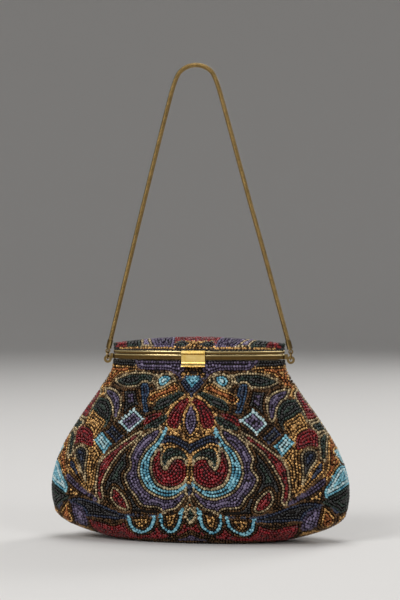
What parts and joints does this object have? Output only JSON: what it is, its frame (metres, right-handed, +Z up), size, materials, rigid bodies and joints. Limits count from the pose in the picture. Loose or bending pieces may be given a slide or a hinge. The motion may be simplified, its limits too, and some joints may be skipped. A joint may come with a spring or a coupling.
{
  "type": "beaded evening bag",
  "caption": "Soft beaded evening bag in a bowed gilt frame, with a domed lid hinged at the back, a drop clasp at the front and a swinging snake-chain handle.",
  "frame": {"origin": "floor under the middle of the pouch", "axes": "+Z up, +X along the frame to the right, -Y towards the clasp"},
  "size_m": [0.2418, 0.0798, 0.381],
  "materials": {
    "beadwork": "glass seed beads sewn in curved rows on cloth",
    "gilt": "polished gilt brass",
    "satin": "satin lining",
    "buckram": "stiffened cloth"
  },
  "bodies": {
    "bag": {"front_panel": "beadwork", "back_panel": "beadwork", "lining": "satin", "mouth_frame": "gilt", "left_lug": "gilt", "right_lug": "gilt", "hinge_leaf": "gilt", "hinge_pin": "gilt", "catch_stud": "gilt"},
    "lid": {"lid_frame": "gilt", "lid_cover": "beadwork", "lid_former": "buckram", "lid_lining": "satin", "lid_leaf": "gilt", "clasp_bar": "gilt", "clasp_pin": "gilt"},
    "clasp": {"clasp_flap": "gilt"},
    "handle": {"left_jump_ring": "gilt", "right_jump_ring": "gilt", "left_end_cap": "gilt", "right_end_cap": "gilt", "snake_chain": "gilt"}
  },
  "joints": [
    {"name": "lid_hinge", "type": "hinge", "parent": "bag", "child": "lid", "pos_m": [0, 0.0239, 0.14825], "axis": [-1, 0, 0], "range_deg": [0, 95]},
    {"name": "clasp_hinge", "type": "hinge", "parent": "lid", "child": "clasp", "pos_m": [0, -0.0241, 0.1497], "axis": [-1, 0, 0], "range_deg": [0, 75]},
    {"name": "chain_swing", "type": "hinge", "parent": "bag", "child": "handle", "pos_m": [0, 0, 0.1467], "axis": [-1, 0, 0], "range_deg": [-110, 110]}
  ]
}
